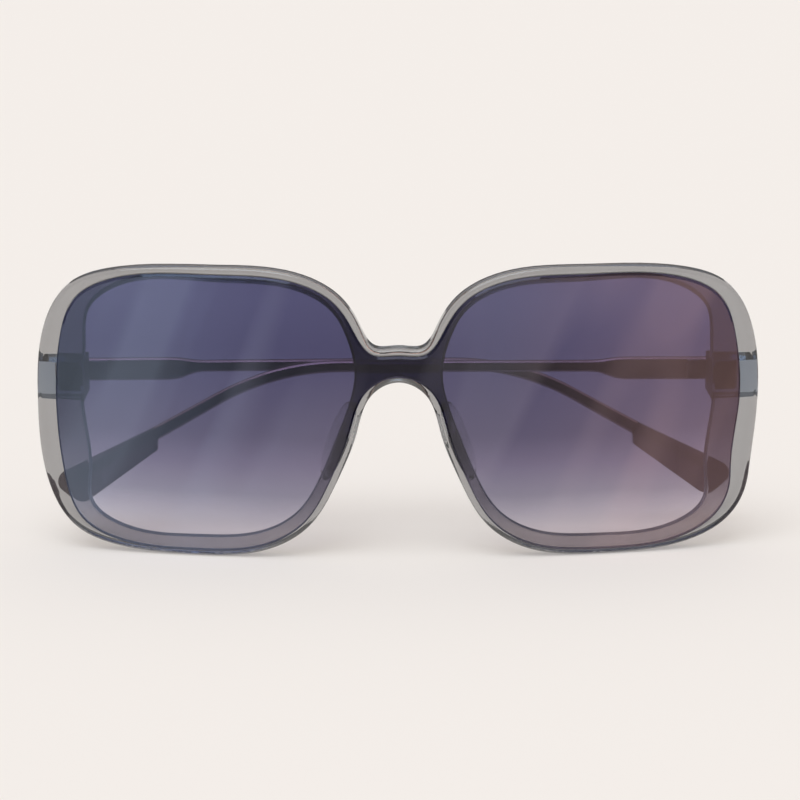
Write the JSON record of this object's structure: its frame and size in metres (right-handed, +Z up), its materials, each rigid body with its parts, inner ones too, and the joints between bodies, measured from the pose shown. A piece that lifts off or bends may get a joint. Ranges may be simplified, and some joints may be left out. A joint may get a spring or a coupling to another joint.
{
  "type": "sunglasses",
  "caption": "Oversized square sunglasses with a tinted shield lens set over a clear acetate front, slim metal temples on hinges and translucent tips, shown folded.",
  "frame": {"origin": "the nose saddle: the middle of the bridge's underside, halfway through the front's thickness", "axes": "as worn: +Z up, the lens faces -Y, +X towards the wearer's left"},
  "size_m": [0.147, 0.0309, 0.06],
  "materials": {
    "clear_acetate": "polished",
    "tinted_lens": "polished",
    "hinge_steel": "satin",
    "screw_steel": "satin",
    "gunmetal": "polished",
    "smoke_acetate": "polished"
  },
  "bodies": {
    "front": {"front_frame": "clear_acetate", "shield_lens": "tinted_lens", "nose_pad_left": "clear_acetate", "nose_pad_right": "clear_acetate", "hinge_front_leaf_left": "hinge_steel", "hinge_front_leaf_right": "hinge_steel", "hinge_leaf_screws_left": "screw_steel", "hinge_leaf_screws_right": "screw_steel", "hinge_pivot_screw_left": "screw_steel", "hinge_pivot_screw_right": "screw_steel"},
    "left_temple": {"temple_bar_left": "gunmetal", "temple_tip_left": "smoke_acetate", "hinge_temple_leaf_left": "hinge_steel"},
    "right_temple": {"temple_bar_right": "gunmetal", "temple_tip_right": "smoke_acetate", "hinge_temple_leaf_right": "hinge_steel"}
  },
  "joints": [
    {"name": "left_temple_fold", "type": "hinge", "parent": "front", "child": "left_temple", "pos_m": [0.068, 0.01995, -0.0028], "axis": [0, -0.1045, -0.9945], "range_deg": [0, 90]},
    {"name": "right_temple_fold", "type": "hinge", "parent": "front", "child": "right_temple", "pos_m": [-0.068, 0.01995, -0.0028], "axis": [0, 0.1045, 0.9945], "range_deg": [0, 87.15]}
  ]
}
